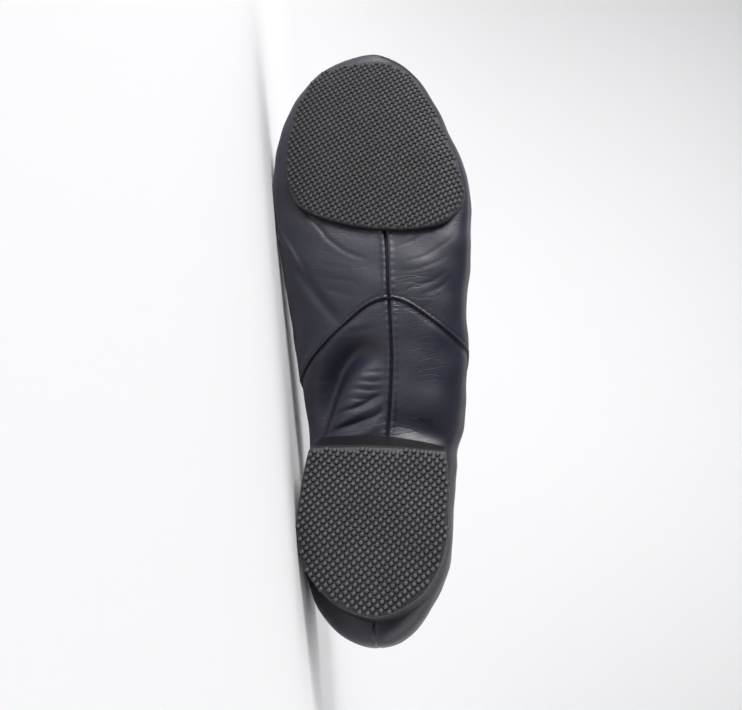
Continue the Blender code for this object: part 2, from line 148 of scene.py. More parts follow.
# How far round the toe's top end the mesh is evened out, and in how many rounds
TOE_EASE = 0.010
EASE_ROUNDS = 60

# Seams, stitches and the folded collar, in metres
STITCH_INSET = 0.0013
STITCH_PITCH = 0.0024
STITCH_PROFILE = ((0.04, 0.05), (0.10, 0.75), (0.25, 1.0), (0.55, 1.0), (0.70, 0.75), (0.76, 0.05))
STITCH_SIDES = 6
THREAD = 0.00020
STITCH_WIDTH = 1.2
STITCH_LIFT = 0.25
LAP_RISE = (-0.00005, 0.00022)
LAP_FLAT = 0.004
MIDDLE_SEAM_ENDS = ((0.20, 0.24), (0.70, 0.72))
PUCKER = 0.00006
PUCKER_PITCH = 0.0031
COLLAR_FOLD = 0.0055
COLLAR_FOLD_RISE = 0.00035
COLLAR_STITCH = 0.0044
COLLAR_SIDES = 7
BACK_SEAM_FADE = 0.0040
BACK_SEAM_REACH = 0.003

# Low forms along the seams: the seam, the place beside it, the height, sunk where it is negative,
# and the width
SEAM_FORMS = (
    ("lap", -0.00032, -0.00060, 0.00036),
    ("lap", -0.00130, -0.00018, 0.00100),
    ("lap", STITCH_INSET * 0.5, 0.00016, 0.00050),
    ("lap", STITCH_INSET, -0.00024, 0.00038),
    ("middle", 0.0015, 0.00025, 0.00090),
    ("middle", 0.0, -0.00120, 0.00038),
    ("back", 0.0, -0.00090, 0.00042),
    ("collar", COLLAR_STITCH, -0.00018, 0.00035),
)

# Treads: a square lattice of studs with cut corners, each a half width and a drop from its tip at
# every height
STUD_PITCH = 0.00205
STUD_HEIGHT = 0.0006
STUD_PROFILE = ((0.00098, 0.0007), (0.00092, 0.00045), (0.00076, 0.00010), (0.00060, 0.0))
STUD_CUT = 0.45
STUD_CORNERS = ((1.0, -STUD_CUT), (1.0, STUD_CUT), (STUD_CUT, 1.0), (-STUD_CUT, 1.0),
                (-1.0, STUD_CUT), (-1.0, -STUD_CUT), (-STUD_CUT, -1.0), (STUD_CUT, -1.0))
STUD_MARGIN = 0.0006
EDGE_ROUND = 0.0003
EDGE_SHARES = (0.0, 0.3, 1.0)
FOREFOOT_TURN = math.radians(61.8)
HEEL_TURN = math.radians(53.0)
PATCH_POINTS = 288
TREAD_POINTS = 240
OUTLINE_STEPS = 24
PATCH_RINGS = (1.0, 0.95, 0.90, 0.84, 0.77, 0.69, 0.60, 0.50, 0.40, 0.30, 0.20, 0.10)
TREAD_RINGS = (0.8, 0.6, 0.4, 0.2)
HEEL_WALL = (0.0, 0.03, 0.10, 0.25, 0.5, 0.75, 0.92, 1.0)
HEEL_RINGS = (0.94, 0.84, 0.68, 0.45, 0.20)
HEEL_HOLLOW = 0.0004
HEEL_EDGE = 0.0003

# The camera, as it stood to the photographed shoe: its place, the axes of its picture, the pixel
# that the shoe's middle lies at, and the picture's focal length and middle in pixels
CAMERA_PLACE = (-0.0072, 0.0327, -0.3003)
CAMERA_FORWARD = (0.3581, 0.0139, 0.9336)
CAMERA_RIGHT = (-0.0387, 0.99925, 0.0)
SHOE_PIXEL = (275.0, 368.0)
MIDDLE_PIXEL = (371.0, 355.0)
FOCAL_PIXELS = 850.0
PICTURE_WIDTH = 742
SENSOR = 36.0

# The floor: its front edge and half width, where it starts to curve up into the backdrop, the
# curve's radius, and the backdrop's height
FLOOR_FRONT = -3.0
FLOOR_SIDE = 4.0
SWEEP_START = 0.35
SWEEP = 1.45
BACKDROP_TOP = 3.5

# Area lights: name, place, what they aim at, size and watts
LIGHTS = (
    ("key", (-0.85, -0.95, 0.45), (0.0, 0.0, 0.04), (0.7, 0.7), 27.0),
    ("low", (0.85, 0.05, 0.60), (0.0, 0.0, 0.04), (1.0, 1.0), 5.0),
    ("over", (-0.7, 0.75, 1.6), (-0.7, 0.75, 0.0), (2.8, 1.4), 10.5),
    ("wash", (-0.9, 0.40, 1.40), (-0.9, 1.6, 0.30), (3.4, 0.8), 12.0),
)

# Colours of the materials, darkest and lightest; the heel studs' tips are painted lighter grey, a
# painted highlight on their tops
COLOURS = {
    "leather": ((0.0100, 0.0098, 0.0205), (0.0160, 0.0156, 0.0310)),
    "lining": ((0.036, 0.036, 0.040), (0.060, 0.060, 0.066)),
    "rubber": ((0.014, 0.014, 0.016), (0.022, 0.022, 0.025)),
    "patch_tips": ((0.013, 0.013, 0.016), (0.023, 0.022, 0.027)),
    "heel_tips_painted_highlight": ((0.040, 0.040, 0.046), (0.070, 0.069, 0.080)),
    # The heel body: black rubber painted darker still, a painted shade on its walls
    "heel": ((0.004, 0.004, 0.005), (0.007, 0.007, 0.009)),
}
PATCH_GLOSS = 0.35
HEEL_GLOSS = 0.2
THREAD_COLOUR = (0.010, 0.010, 0.014, 1.0)
FLOOR_COLOUR = (0.86, 0.86, 0.87, 1.0)
SURROUND_COLOUR = (0.95, 0.97, 1.0, 1.0)
SURROUND = 0.06

# Creases under the shoe: name, depth and width in metres, a ridge where the depth is negative, and
# the line as shares of the length and of the ball width
CREASES = (
    ("inner ridge", -0.0008, 0.0009,
     ((0.694, -0.485), (0.651, -0.449), (0.613, -0.390), (0.578, -0.335), (0.556, -0.308))),
    ("inner fold", 0.001, 0.0022,
     ((0.590, -0.360), (0.555, -0.305), (0.529, -0.249), (0.504, -0.190), (0.488, -0.143))),
    ("patch to seam", 0.0005, 0.0007,
     ((0.690, -0.350), (0.648, -0.249), (0.628, -0.208), (0.610, -0.150), (0.597, -0.091),
      (0.587, -0.015))),
    ("patch pucker", 0.0003, 0.0007, ((0.656, 0.004), (0.642, 0.047), (0.638, 0.066))),
    ("inner wrinkle a", 0.00022, 0.0008,
     ((0.569, -0.258), (0.558, -0.174), (0.552, -0.093), (0.541, -0.050))),
    ("inner wrinkle b", 0.00018, 0.0007, ((0.586, -0.245), (0.578, -0.175), (0.574, -0.110))),
    ("inner panel", 0.0002, 0.001, ((0.549, -0.252), (0.534, -0.143), (0.526, -0.072))),
    ("outer wrinkle a", 0.00018, 0.0007,
     ((0.580, 0.168), (0.588, 0.258), (0.608, 0.349), (0.626, 0.410))),
    ("outer wrinkle b", 0.00015, 0.0007,
     ((0.565, 0.122), (0.566, 0.212), (0.580, 0.325), (0.592, 0.369))),
    ("outer wrinkle c", 0.00018, 0.0007, ((0.536, 0.176), (0.545, 0.275), (0.566, 0.367))),
    ("outer wrinkle d", 0.00015, 0.0007, ((0.523, 0.219), (0.538, 0.320), (0.559, 0.388))),
    ("outer wrinkle e", 0.00014, 0.0007, ((0.604, 0.110), (0.614, 0.200), (0.630, 0.290))),
    ("arch trough", 0.0066, 0.0052,
     ((0.436, 0.050), (0.444, -0.043), (0.436, -0.105), (0.418, -0.160), (0.394, -0.205),
      (0.366, -0.243), (0.334, -0.275), (0.300, -0.300), (0.275, -0.315))),
    ("arch lip", -0.0012, 0.003,
     ((0.480, -0.010), (0.478, -0.115), (0.462, -0.205), (0.430, -0.285), (0.390, -0.345))),
    ("arch pad", -0.0015, 0.006, ((0.395, -0.030), (0.370, -0.090), (0.335, -0.150), (0.310, -0.180))),
    ("gather a", 0.0007, 0.0009,
     ((0.338, -0.210), (0.347, -0.151), (0.354, -0.072), (0.367, 0.009), (0.376, 0.063))),
    ("gather b", 0.00075, 0.001,
     ((0.312, -0.225), (0.321, -0.162), (0.330, -0.074), (0.339, 0.006), (0.353, 0.066))),
    ("gather c", -0.00045, 0.0012, ((0.325, -0.200), (0.342, -0.072), (0.353, 0.008), (0.365, 0.064))),
    ("gather d", 0.0004, 0.0008, ((0.378, -0.150), (0.383, -0.092), (0.380, -0.014), (0.381, 0.058))),
    ("gather e", 0.00035, 0.0008, ((0.393, -0.120), (0.396, -0.081), (0.393, -0.001), (0.395, 0.065))),
    ("gather f", 0.00035, 0.0008, ((0.360, -0.170), (0.368, -0.100), (0.366, -0.030), (0.374, 0.040))),
    ("gather g", 0.00025, 0.0008, ((0.408, -0.070), (0.408, 0.005), (0.408, 0.066))),
    ("pull to heel", -0.0007, 0.0022,
     ((0.295, -0.250), (0.302, -0.150), (0.312, -0.060), (0.325, 0.030))),
    ("outer arch", 0.0028, 0.0058,
     ((0.334, 0.050), (0.327, 0.120), (0.319, 0.200), (0.311, 0.280), (0.302, 0.350), (0.293, 0.410))),
    ("inner low", 0.00035, 0.0012, ((0.470, -0.163), (0.474, -0.063), (0.476, 0.043))),
    ("inner hatch a", 0.0004, 0.0018, ((0.440, -0.350), (0.474, -0.290), (0.500, -0.239))),
    ("inner hatch b", 0.00035, 0.0014, ((0.470, -0.330), (0.500, -0.280), (0.530, -0.210))),
    ("inner side", 0.0022, 0.0052, ((0.420, -0.420), (0.362, -0.395), (0.292, -0.375))),
)

# Bends over the top of the forefoot and along the sides, on the same terms
TOP_CREASES = (
    ("toe bend", 0.0007, 0.006, ((0.742, -0.300), (0.762, -0.020), (0.738, 0.260))),
    ("second bend", 0.0005, 0.005, ((0.698, -0.300), (0.712, -0.010), (0.690, 0.270))),
    ("third bend", 0.0004, 0.0045, ((0.650, -0.280), (0.664, 0.000), (0.646, 0.240))),
)

# Creases: a line's steps, the shoulders' share, and a stroke's step and reach in widths and its fade
LINE_STEPS = 6
SHOULDER = 0.25
STROKE_STEP = 0.5
STROKE_REACH = 4.0
STROKE_FADE = 0.7

# Slow unevenness of the leather: its height, and each wave's turns along X, Y and Z and its phase
UNEVEN = 0.00008
WAVES = ((38.0, 62.0, 24.0, 0.3), (68.0, -34.0, 46.0, 1.9), (-54.0, 88.0, 30.0, 4.1),
         (104.0, 42.0, -76.0, 2.7))

# Fine wrinkles in the leather: how they are stretched and turned
WRINKLES = (((240.0, 60.0, 45.0), (0.0, 0.30, 0.0)), ((170.0, 60.0, 50.0), (0.0, -0.40, 0.0)))


def smoothstep(value, low, high):
    share = np.clip((value - low) / (high - low), 0.0, 1.0)
    return share * share * (3.0 - 2.0 * share)


def section(column, along):
    """The column's value at places between the sections, on one smooth curve through them."""
    place = np.array([row[0] for row in SECTIONS])
    value = np.array([row[SECTION_COLUMNS.index(column)] for row in SECTIONS])
    index = np.clip(np.searchsorted(place, along) - 1, 0, len(SECTIONS) - 2)
    low, high = np.maximum(index - 1, 0), np.minimum(index + 2, len(SECTIONS) - 1)
    span = place[index + 1] - place[index]
    start = (value[index + 1] - value[low]) / (place[index + 1] - place[low])
    end = (value[high] - value[index]) / (place[high] - place[index])
    t = np.clip((along - place[index]) / span, 0.0, 1.0)
    return ((2 * t**3 - 3 * t**2 + 1) * value[index] + (t**3 - 2 * t**2 + t) * span * start
            + (3 * t**2 - 2 * t**3) * value[index + 1] + (t**3 - t**2) * span * end)


def rounded(share, square):
    """A half oval's width at a share of its length from its middle."""
    return np.maximum(1.0 - np.minimum(np.abs(share), 1.0) ** square, 0.0) ** (1.0 / square)


def end_closure(along):
    """How much of the width is left near the heel's back and the toe's tip."""
    heel = rounded(np.maximum(HEEL_ROUND - along, 0.0) / HEEL_ROUND, END_SQUARE)
    return heel * rounded(np.maximum(along - 1.0 + TOE_ROUND, 0.0) / TOE_ROUND, END_SQUARE)


def local_width(along):
    return HEEL_WIDTH + (BALL_WIDTH - HEEL_WIDTH) * smoothstep(along, 0.20, 0.60)


def local_height(along):
    rear = BACK_HEIGHT + (INSTEP_HEIGHT - BACK_HEIGHT) * smoothstep(along, 0.15, 0.42)
    return rear + (TOE_HEIGHT - INSTEP_HEIGHT) * smoothstep(along, 0.55, 0.93)


def bottom_height(along):
    seat = HEEL_HEIGHT + GAP
    tread = FORE_SOLE + GAP
    return tread + (seat - tread) * section("seat", along) + TOE_SPRING * section("spring", along)


def level_ends(lower, upper):
    """Where the heel's back and the toe's tip lie at a level: round the lower arc, then up the side."""
    below = 1.0 - lower ** (2.0 / END_SQUARE)
    back = HEEL_TUCK * below + COLLAR_LEAN * upper**1.6
    front = LENGTH - TOE_TUCK * below - TOE_SETBACK * upper**2
    return back, front


def seam_share(lower, upper, side):
    """Where the lap seam crosses a level, as a share of the length there; round at its apex."""
    back, front = level_ends(lower, upper)
    swept = (np.hypot(lower, SEAM_BEND) - SEAM_BEND) / (math.hypot(1.0, SEAM_BEND) - SEAM_BEND)
    drop = SEAM_DROP[side] * swept * (1.0 - upper) + SEAM_TOP_DROP * upper
    return ((SEAM_APEX - drop) * LENGTH - back) / (front - back)


def throat_share():
    back, front = level_ends(1.0, 1.0)
    return (OPENING_LENGTH - back) / (front - back)


def throat_station():
    """The station that the opening's front end lies on, at the top level."""
    seam = seam_share(1.0, 1.0, "medial")
    return 1.0 - (1.0 - throat_share()) * (1.0 - SEAM_APEX) / (1.0 - seam)


def warped(station, lower, upper, side):
    """Slides a station along a level, so that the seam's own station follows the seam."""
    seam = seam_share(lower, upper, side)
    return np.where(station <= SEAM_APEX, station * seam / SEAM_APEX,
                    1.0 - (1.0 - station) * (1.0 - seam) / (1.0 - SEAM_APEX))


def outer_points(station, lower, upper, side):
    """Points of the upper's outer face, with the front piece's lap left out."""
    along = warped(station, lower, upper, side)
    back, front = level_ends(lower, upper)
    closure = end_closure(along)
    height = section("top", along) * local_height(along)
    middle = section("middle", along) * BALL_WIDTH * closure
    widest = SIDES[side] * section(side, along) * local_width(along) * closure
    rise = section("wide_" + side, along) * height
    square = section("square", along)
    across = lower ** (2.0 / square)
    raised = 1.0 - np.maximum(1.0 - lower**2, 0.0) ** (1.0 / square)
    low_y, low_z = middle + (widest - middle) * across, rise * raised
    throat = throat_share()
    opening = OPENING_WIDTH / 2 * rounded(2.0 * along / throat - 1.0, OPENING_SQUARE)
    opening = np.where(along >= throat, 0.0, opening)
    top_y = (section("ridge", along) * BALL_WIDTH * closure
             + SIDES[side] * np.minimum(opening, np.abs(widest)))
    crown = section("crown", along)
    closed = smoothstep(along, 0.24, throat)
    high = height - rise
    handle_low = (widest, rise + (0.30 + 0.25 * crown) * high)
    handle_top = (top_y + (0.20 + 0.45 * crown * closed) * (widest - top_y),
                  height - 0.40 * (1.0 - closed) * high)
    weights = ((1 - upper) ** 3, 3 * upper * (1 - upper) ** 2, 3 * upper**2 * (1 - upper), upper**3)
    corners = ((widest, rise), handle_low, handle_top, (top_y, height))
    y, z = [sum(weight * corner[k] for weight, corner in zip(weights, corners)) for k in (0, 1)]
    x = back + along * (front - back)
    below = upper == 0.0
    return np.stack([x, np.where(below, low_y, y), bottom_height(along) + np.where(below, low_z, z)], -1)


def spaced(start, end, step):
    """Places from start to end, each a local step after the last."""
    places = [start]
    while places[-1] < end:
        places.append(places[-1] + step(places[-1]))
    places = np.array(places)
    return start + (places - start) * (end - start) / (places[-1] - start)


def leather_stations():
    """Stations crowded at both ends and at the lap seam, as shares of the length."""
    def step(place):
        away = max(CREASED[0] - place, place - CREASED[1], 0.0)
        among_creases = FINE / LENGTH + FINE_GROWTH * away
        at_seam = SEAM_STEP / LENGTH + SEAM_GROWTH * abs(place - SEAM_APEX)
        at_end = END_STEP / LENGTH + END_GROWTH * max(min(place, 1.0 - place), 0.0)
        return min(COARSE / LENGTH, among_creases, at_seam, at_end)

    cuts = (0.0, SEAM_APEX, throat_station(), 1.0)
    parts = [spaced(start, end, step)[:-1] for start, end in zip(cuts, cuts[1:])]
    return np.concatenate(parts + [[1.0]]), len(parts[0]), len(parts[0]) + len(parts[1])


def leather_rounds():
    """Shares of the way from the bottom's middle line to the top, crowded at the middle seam."""
    reach = BALL_WIDTH / 2 + INSTEP_HEIGHT

    def step(place):
        among_creases = FINE + FINE_GROWTH * max(place - CREASED_REACH, 0.0)
        return min(COARSE, among_creases, SEAM_STEP + SEAM_GROWTH * place)

    return spaced(0.0, reach, step) / reach


def between(wanted, reach, values):
    """Each column of values, read off at the wanted reach."""
    return np.stack([np.interp(wanted, reach, column) for column in values.T], axis=-1)


def side_points(stations, rounds, side):
    """Rows of points up one side, evenly laid out along each station's own line, and their distances."""
    t = np.linspace(0.0, 1.0, SECTION_SAMPLES)
    lower = np.concatenate([np.sin(t**1.6 * math.pi / 2), np.ones(SECTION_SAMPLES - 1)])
    upper = np.concatenate([np.zeros(SECTION_SAMPLES), t[1:]])
    dense = outer_points(stations[:, None], lower[None, :], upper[None, :], side)
    steps = np.linalg.norm(np.diff(dense, axis=1), axis=2)
    reach = np.concatenate([np.zeros((len(stations), 1)), np.cumsum(steps, axis=1)], axis=1)
    distances = rounds[None, :] * reach[:, -1:]
    return np.stack([between(*row) for row in zip(distances, reach, dense)]), distances


def leather_grid():
    """The upper's outer face as a grid, with each point's distances from the seams and the collar."""
    stations, seam, throat = leather_stations()
    rounds = leather_rounds()
    inner, inner_reach = side_points(stations, rounds, "medial")
    outer, outer_reach = side_points(stations, rounds, "lateral")
    points = np.concatenate([inner[:, :0:-1], outer], axis=1)
    from_middle = np.concatenate([inner_reach[:, :0:-1], outer_reach], axis=1)
    top = np.concatenate([np.repeat(inner_reach[:, -1:], len(rounds) - 1, axis=1),
                          np.repeat(outer_reach[:, -1:], len(rounds), axis=1)], axis=1)
    runs = np.linalg.norm(np.diff(points, axis=0), axis=2)
    along = np.concatenate([np.zeros((1, points.shape[1])), np.cumsum(runs, axis=0)], axis=0)
    across = np.gradient(points[seam], axis=0)
    forward = points[seam + 1] - points[seam - 1]
    cosine = np.sum(across * forward, axis=1) / (np.linalg.norm(across, axis=1)
                                                 * np.linalg.norm(forward, axis=1))
    ahead = (along - along[seam]) * np.sqrt(1.0 - cosine**2)
    collar = np.where(np.arange(len(stations))[:, None] <= throat, top - from_middle, 1.0)
    return {"points": points, "middle": from_middle, "ahead": ahead, "from_back": along,
            "collar": collar, "throat": throat}


def grid_faces(rows, columns):
    """Corner numbers of the quads between a grid's points, facing out of the shoe."""
    first = np.arange(rows * columns).reshape(rows, columns)
    return np.stack([first[:-1, :-1], first[:-1, 1:], first[1:, 1:], first[1:, :-1]], -1).reshape(-1, 4)


def weld(points):
    """Which points to keep where some lie together, and each point's number among the kept ones."""
    places = np.round(points / WELD)
    _, kept, numbers = np.unique(places, axis=0, return_index=True, return_inverse=True)
    return kept, numbers.reshape(-1)


def welded(points, faces):
    """The points with those that lie together joined, and the faces on them."""
    kept, numbers = weld(points)
    return points[kept], numbers[faces]


def point_normals(points, faces):
    """Outward normals at the points, each the mean of its faces' by area."""
    diagonals = points[faces[:, 2]] - points[faces[:, 0]], points[faces[:, 3]] - points[faces[:, 1]]
    face_normals = np.cross(*diagonals)
    normals = np.zeros_like(points)
    for corner in range(4):
        np.add.at(normals, faces[:, corner], face_normals)
    lengths = np.linalg.norm(normals, axis=1, keepdims=True)
    return normals / np.maximum(lengths, 1e-12)


def new_object(name, data):
    made = bpy.data.objects.new(name, data)
    bpy.context.scene.collection.objects.link(made)
    return made


def new_piece(name, points, faces, materials, slots=None):
    """A mesh piece from standing points, moved to where the shoe lies, riding on the only body."""
    mesh = bpy.data.meshes.new(name)
    placed = np.asarray(points) @ TO_ROW[:3, :3].T + TO_ROW[:3, 3]
    placed[:, 2] = np.maximum(placed[:, 2], 0.0)
    mesh.from_pydata(placed.tolist(), [], [list(dict.fromkeys(face)) for face in faces])
    mesh.validate()
    piece = new_object(name, mesh)
    for material in materials:
        mesh.materials.append(material)
    if slots is not None:
        mesh.polygons.foreach_set("material_index", np.asarray(slots, dtype=np.int32))
    mesh.shade_smooth()
    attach(piece, "root")
    return piece


def joined(name, meshes, materials, slots=None):
    """One piece from several point and face lists."""
    points, faces, start = [], [], 0
    for mesh_points, mesh_faces in meshes:
        points.append(np.asarray(mesh_points))
        faces += [[int(corner) + start for corner in face] for face in mesh_faces]
        start += len(mesh_points)
    return new_piece(name, np.concatenate(points), faces, materials, slots)


def tube_faces(rings, count, start=0):
    """Faces between each ring of points and the next."""
    faces = []
    for low in range(start, start + (rings - 1) * count, count):
        for j in range(count):
            after = (j + 1) % count
            faces.append([low + j, low + after, low + count + after, low + count + j])
    return faces


def sheet(rings, centre):
    """Points and faces of rings from a rim inwards, closed on one point."""
    count = len(rings[0])
    points = [point for ring in rings for point in ring] + [centre]
    faces = tube_faces(len(rings), count)
    last = (len(rings) - 1) * count
    faces += [[last + j, last + (j + 1) % count, len(points) - 1] for j in range(count)]
    return points, faces


def standing_to_row():
    """Where the standing shoe lies in the row, from the two faces that the record mounts."""
    mounts = {mount["name"]: mount for mount in frame["record"]["mounts"]}
    heel = Vector(mounts["heel_face"]["pos_m"])
    forefoot = Vector(mounts["forefoot_face"]["pos_m"])
    up = -Vector(mounts["heel_face"]["axis"]).normalized()

    def axes(forward, up):
        forward = (forward - up * forward.dot(up)).normalized()
        return np.array([forward, up.cross(forward), up]).T

    turn = axes(forefoot - heel, up) @ axes(FOREFOOT_FACE - HEEL_FACE, Vector((0.0, 0.0, 1.0))).T
    moved = np.identity(4)
    moved[:3, :3] = turn
    moved[:3, 3] = np.array(heel) - turn @ np.array(HEEL_FACE)
    return moved


TO_ROW = standing_to_row()


def curve_points(corners, steps):
    """Points on a smooth curve from the second corner to the last but one; the end ones steer it."""
    t = np.linspace(0.0, 1.0, steps, endpoint=False)[:, None]
    parts = []
    for before, start, end, after in zip(corners, corners[1:], corners[2:], corners[3:]):
        parts.append(0.5 * (2 * start + (end - before) * t
                            + (2 * before - 5 * start + 4 * end - after) * t**2
                            + (3 * start - before - 3 * end + after) * t**3))
    return np.concatenate(parts)


def smooth_line(corners):
    """More corners on a smooth curve through the given ones."""
    first, last = 2 * corners[0] - corners[1], 2 * corners[-1] - corners[-2]
    padded = np.concatenate([[first], corners, [last]])
    return np.concatenate([curve_points(padded, LINE_STEPS), corners[-1:]])


def path_length(path):
    return np.linalg.norm(np.diff(path, axis=0), axis=1).sum()


def even_path(path, count):
    """Evenly spaced points along a path, its ends included."""
    steps = np.linalg.norm(np.diff(path, axis=0), axis=1)
    reach = np.concatenate([[0.0], np.cumsum(steps)])
    return between(np.linspace(0.0, reach[-1], count), reach, path)


def stroke(places, path, width):
    """A soft band of one width along a path, with faded ends: 1 on the path's middle, 0 far away."""
    length = path_length(path)
    count = int(length / (width * STROKE_STEP)) + 2
    weights = np.sin((np.arange(count) + 0.5) / count * math.pi) ** STROKE_FADE
    weights *= length / (count - 1) / (width * math.sqrt(math.pi))
    band = np.zeros(len(places))
    for spot, weight in zip(even_path(path, count), weights):
        band += weight * np.exp(-np.sum((places - spot) ** 2, axis=1) / width**2)
    return band


def crease_relief(points, table):
    """Soft troughs, or ridges, along the table's lines, each with low shoulders and faded ends."""
    relief = np.zeros(len(points))
    for _, depth, width, line in table:
        path = smooth_line(np.array(line) * (LENGTH, BALL_WIDTH))
        reach = STROKE_REACH * width
        low, high = path.min(axis=0) - reach, path.max(axis=0) + reach
        near = np.all((points[:, :2] > low) & (points[:, :2] < high), axis=1)
        places = points[near, :2]
        relief[near] -= depth * ((1.0 + SHOULDER) * stroke(places, path, width)
                                 - SHOULDER * stroke(places, path, 2.0 * width))
    return relief


def bell(distance, width):
    return np.exp(-((distance / width) ** 2))


def seam_relief(ahead, middle, collar, from_back, along):
    """The lap's step, the folded collar, the puckers and the seams' low forms."""
    start, end = MIDDLE_SEAM_ENDS
    under = smoothstep(along, *start) * (1.0 - smoothstep(along, *end))
    relief = LAP * smoothstep(ahead, *LAP_RISE) * (1.0 - smoothstep(ahead, LAP_FLAT, LAP_FADE))
    relief += COLLAR_FOLD_RISE * (1.0 - smoothstep(collar, COLLAR_FOLD, COLLAR_FOLD + 0.0004))
    waves = np.sin(along * LENGTH * 2.0 * math.pi / PUCKER_PITCH)
    relief += PUCKER * under * waves * bell(middle - 0.0016, 0.0014)
    seams = {"lap": (ahead, 1.0), "middle": (middle, under), "collar": (collar, 1.0),
             "back": (from_back, smoothstep(collar, 0.0, BACK_SEAM_FADE))}
    for seam, place, height, width in SEAM_FORMS:
        distance, share = seams[seam]
        relief += height * share * bell(distance - place, width)
    return relief


def uneven_relief(points):
    """The slow unevenness of soft leather that has been worn a little."""
    x, y, z = points.T / LENGTH
    return UNEVEN * sum(np.sin(a * x + b * y + c * z + d) for a, b, c, d in WAVES)


def soft_relief(points, normals):
    """The creases and unevenness that go through the leather, the lining and the insole alike."""
    under = 1.0 - smoothstep(normals[:, 2], 0.05, 0.45)
    relief = under * crease_relief(points, CREASES) + (1.0 - under) * crease_relief(points, TOP_CREASES)
    return relief + uneven_relief(points)


def eased(points, faces, centre, reach):
    """The points near a place evened out with their neighbours, fully at its middle."""
    starts, ends = faces.ravel(), np.roll(faces, -1, axis=1).ravel()
    starts, ends = np.concatenate([starts, ends]), np.concatenate([ends, starts])
    share = 1.0 - smoothstep(np.linalg.norm(points - centre, axis=1), 0.4 * reach, reach)
    used = share[starts] > 0.0
    starts, ends = starts[used], ends[used]
    count = np.maximum(np.bincount(starts, minlength=len(points)), 1)
    points = points.copy()
    for _ in range(EASE_ROUNDS):
        sums = [np.bincount(starts, points[ends, axis], len(points)) for axis in range(3)]
        points += share[:, None] * 0.5 * (np.stack(sums, axis=1) / count[:, None] - points)
    return points


def dressed_leather(grid):
    """The grid's points with all their relief, the points of the leather's inside, and the normals."""
    rows, columns = grid["points"].shape[:2]
    flat = grid["points"].reshape(-1, 3)
    kept, numbers = weld(flat)
    faces = numbers[grid_faces(rows, columns)]
    flat = eased(flat[kept], faces, grid["points"][-1, 0], TOE_EASE)[numbers]
    shared = point_normals(flat[kept], faces)
    if np.sum(shared * (flat[kept] - flat.mean(axis=0))) < 0:
        shared = -shared
    normals = shared[numbers]
    soft = soft_relief(flat, normals)
    distances = [grid[name].ravel() for name in ("ahead", "middle", "collar", "from_back")]
    relief = soft + seam_relief(*distances, flat[:, 0] / LENGTH)
    at_back = (flat[:, 0] < LENGTH / 2) & (distances[-1] < BACK_SEAM_REACH)
    relief = np.where(at_back, relief[kept][numbers], relief)
    dressed = flat + normals * relief[:, None]
    inner = flat + normals * (soft - WALL)[:, None]
    return [points.reshape(rows, columns, 3) for points in (dressed, inner, normals)]


def make_upper(grid, dressed, inner):
    """The leather: its dressed outer face, turned in round the collar to the lining."""
    rows, columns = dressed.shape[:2]
    edge = slice(0, grid["throat"] + 1)
    meshes = [welded(dressed.reshape(-1, 3), grid_faces(rows, columns))]
    for column, order in ((0, -1), (columns - 1, 1)):
        outer_edge, inner_edge = dressed[edge, column], inner[edge, column]
        up = np.cross(np.gradient(outer_edge, axis=0), outer_edge - inner_edge)
        up *= np.sign(up[:, 2:3]) / np.linalg.norm(up, axis=1, keepdims=True)
        half = (outer_edge - inner_edge) / 2
        radius = np.linalg.norm(half, axis=1, keepdims=True)
        arc = [(outer_edge + inner_edge) / 2 + half * math.cos(a) + up * radius * math.sin(a)
               for a in np.linspace(0.0, math.pi, COLLAR_SIDES)]
        strip = np.stack(arc, axis=1)
        meshes.append((strip.reshape(-1, 3), grid_faces(*strip.shape[:2])[:, ::order]))
    upper = joined("upper_leather", meshes, [leather_material()])
    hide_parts("upper")


def make_lining(inner):
    """The inside of the leather, on a coarser grid."""
    kept = [np.unique(np.append(np.arange(0, count, LINING_STEP), count - 1))
            for count in inner.shape[:2]]
    coarse = inner[np.ix_(*kept)]
    points, faces = welded(coarse.reshape(-1, 3), grid_faces(*coarse.shape[:2]))
    lining = new_piece("upper_lining", points, faces[:, ::-1], [lining_material()])


def stitch_row(path, up):
    """Short rounded stitches laid end to end with gaps along a path on the leather."""
    count = max(int(path_length(path) / STITCH_PITCH), 1)
    places = even_path(path, count + 1)
    ups = even_path(up, count + 1)
    turns = np.linspace(0.0, 2.0 * math.pi, STITCH_SIDES, endpoint=False)
    meshes = []
    for start, end, normal in zip(places, places[1:], ups):
        forward = (end - start) / np.linalg.norm(end - start)
        side = np.cross(normal, forward)
        rings = []
        for share, swell in STITCH_PROFILE:
            centre = start + forward * STITCH_PITCH * share
            rings.append([centre + THREAD * swell * (side * math.cos(a) * STITCH_WIDTH
                                                     + normal * math.sin(a)) for a in turns])
        meshes.append((np.array(rings).reshape(-1, 3), tube_faces(len(rings), STITCH_SIDES)))
    return meshes


def line_at(distances, wanted, points, normals):
    """Where each row of distances reaches the wanted one: the line of points, and its normals."""
    path, ups = [], []
    for row, places, directions in zip(distances, points, normals):
        order = np.argsort(row)
        path.append(between(wanted, row[order], places[order]))
        ups.append(between(wanted, row[order], directions[order]))
    return np.array(path), np.array(ups)


def make_stitches(grid, dressed, normals):
    """A row along the lap seam, and one under the collar's folded edge on each side."""
    lifted = dressed + normals * THREAD * STITCH_LIFT
    meshes = stitch_row(*line_at(grid["ahead"].T, STITCH_INSET, lifted.swapaxes(0, 1),
                                 normals.swapaxes(0, 1)))
    middle = dressed.shape[1] // 2
    for columns in (slice(0, middle), slice(middle, None)):
        edge = slice(2, grid["throat"] + 1), columns
        meshes += stitch_row(*line_at(grid["collar"][edge], COLLAR_STITCH, lifted[edge], normals[edge]))
    stitches = joined("stitches", meshes, [thread_material()])


